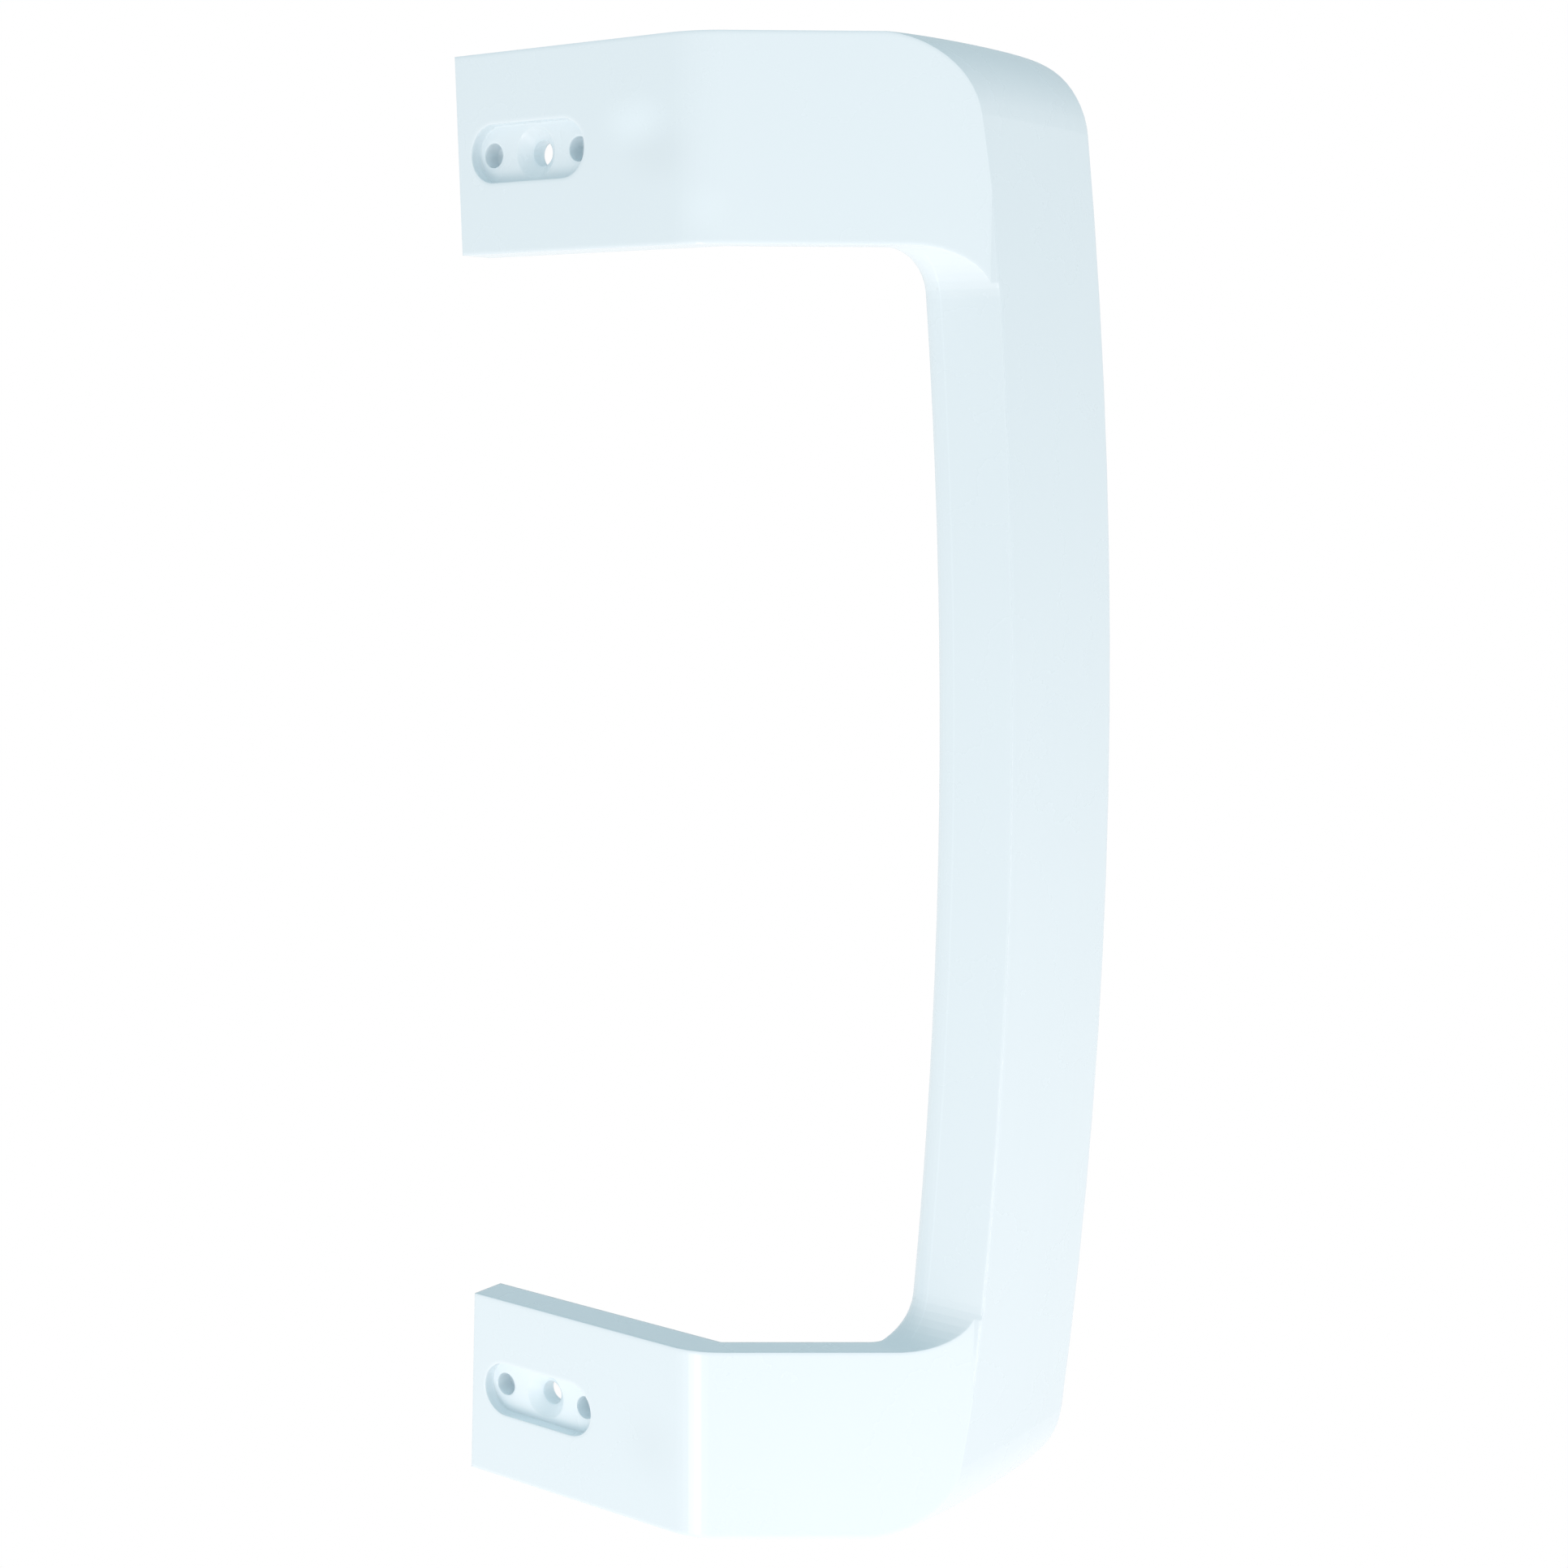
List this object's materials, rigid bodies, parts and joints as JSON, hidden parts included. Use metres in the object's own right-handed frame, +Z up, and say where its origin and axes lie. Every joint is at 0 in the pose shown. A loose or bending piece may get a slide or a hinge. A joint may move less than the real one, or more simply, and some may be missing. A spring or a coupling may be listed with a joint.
{
  "type": "refrigerator door handle",
  "caption": "C-shaped pull handle for a refrigerator door: a bowed vertical grip that curves back into mounting legs with recessed screw holes.",
  "frame": {"origin": "midway between the two screw axes, on the flat face that meets the door", "axes": "+Z up along the door's edge, +Y into the door through the screw holes, +X from the free ends of the legs towards the grip"},
  "size_m": [0.1182, 0.0794, 0.31],
  "materials": {
    "moulding": "smooth gloss white"
  },
  "bodies": {
    "root": {"handle": "moulding"}
  },
  "joints": []
}
